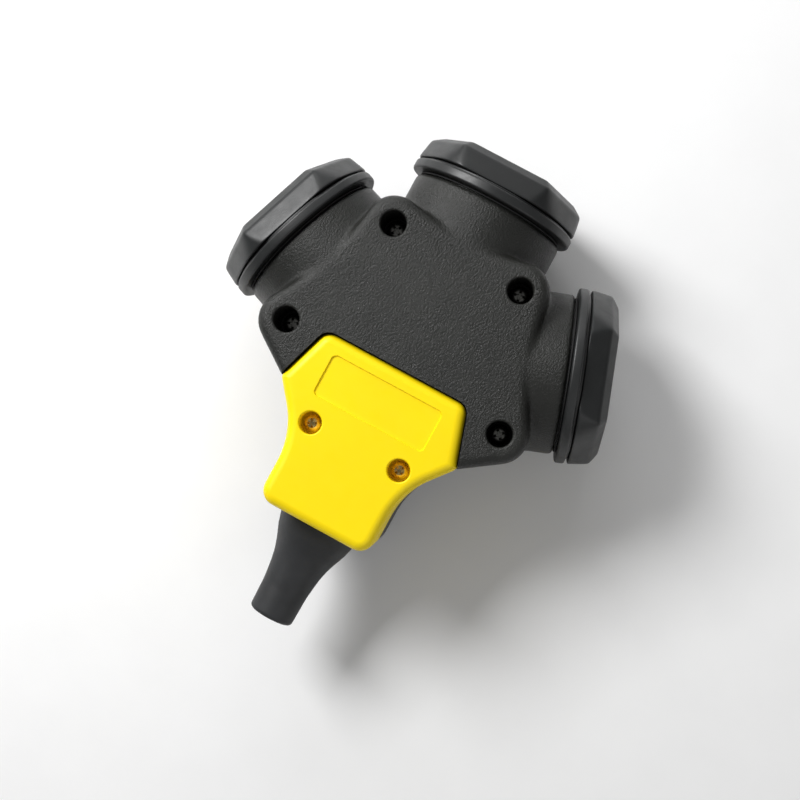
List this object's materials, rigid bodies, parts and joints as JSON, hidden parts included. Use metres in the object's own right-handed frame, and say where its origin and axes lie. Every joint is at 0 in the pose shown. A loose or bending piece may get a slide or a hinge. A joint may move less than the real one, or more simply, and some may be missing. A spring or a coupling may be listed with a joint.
{
  "type": "portable power distribution box",
  "caption": "Hand-held socket splitter: a fan of lidded round power sockets on a two-shell hub, with a screwed cable-entry cover and a tapered cable sleeve on the handle end.",
  "frame": {"origin": "on the flat rear face, straight behind the point where the three socket axes meet", "axes": "+Z out of the front face, +Y along the middle socket away from the cable, +X to the right seen from the front"},
  "size_m": [0.1526, 0.1828, 0.0662],
  "materials": {
    "housing": "spark-grained black",
    "collar": "satin black",
    "lid": "satin black, fine grain",
    "cover": "satin yellow",
    "sleeve": "black rubber",
    "seal": "black rubber",
    "insert": "dark grey",
    "blackened_steel": "blackened",
    "bright_steel": "zinc plated",
    "brass": "yellow passivated",
    "copper": "bare copper alloy",
    "terminal": "off-white"
  },
  "bodies": {
    "box": {"front_housing": "housing", "rear_housing": "housing", "cable_cover": "cover", "cable_sleeve": "sleeve", "terminal_block": "terminal", "cable_clamp": "insert", "live_bus": "copper", "neutral_bus": "copper", "earth_bus": "copper", "housing_screw_1": "blackened_steel", "housing_screw_2": "blackened_steel", "housing_screw_3": "blackened_steel", "housing_screw_4": "blackened_steel", "cover_screw_1": "brass", "cover_screw_2": "brass", "clamp_screw_1": "bright_steel", "clamp_screw_2": "bright_steel", "terminal_screw_1": "bright_steel", "terminal_screw_2": "bright_steel", "terminal_screw_3": "bright_steel", "collar_left": "collar", "collar_seal_left": "seal", "hinge_pin_left": "bright_steel", "hinge_spring_left": "bright_steel", "socket_insert_left": "insert", "earth_clip_left": "bright_steel", "live_contact_left": "brass", "neutral_contact_left": "brass", "collar_middle": "collar", "collar_seal_middle": "seal", "hinge_pin_middle": "bright_steel", "hinge_spring_middle": "bright_steel", "socket_insert_middle": "insert", "earth_clip_middle": "bright_steel", "live_contact_middle": "brass", "neutral_contact_middle": "brass", "collar_right": "collar", "collar_seal_right": "seal", "hinge_pin_right": "bright_steel", "hinge_spring_right": "bright_steel", "socket_insert_right": "insert", "earth_clip_right": "bright_steel", "live_contact_right": "brass", "neutral_contact_right": "brass"},
    "left_lid": {"lid_left": "lid", "lid_gasket_left": "seal"},
    "middle_lid": {"lid_middle": "lid", "lid_gasket_middle": "seal"},
    "right_lid": {"lid_right": "lid", "lid_gasket_right": "seal"}
  },
  "joints": [
    {"name": "left_lid_hinge", "type": "hinge", "parent": "box", "child": "left_lid", "pos_m": [-0.05798, 0.0211, 0.00275], "axis": [-0.342, -0.9397, 0], "range_deg": [0, 110], "stiffness_Nm_per_rad": 0.016, "springref_deg": -108.86},
    {"name": "middle_lid_hinge", "type": "hinge", "parent": "box", "child": "middle_lid", "pos_m": [0, 0.0646, 0.00275], "axis": [-1, 0, 0], "range_deg": [0, 110], "stiffness_Nm_per_rad": 0.016, "springref_deg": -108.86},
    {"name": "right_lid_hinge", "type": "hinge", "parent": "box", "child": "right_lid", "pos_m": [0.05798, 0.0211, 0.00275], "axis": [-0.342, 0.9397, 0], "range_deg": [0, 110], "stiffness_Nm_per_rad": 0.016, "springref_deg": -108.86}
  ]
}
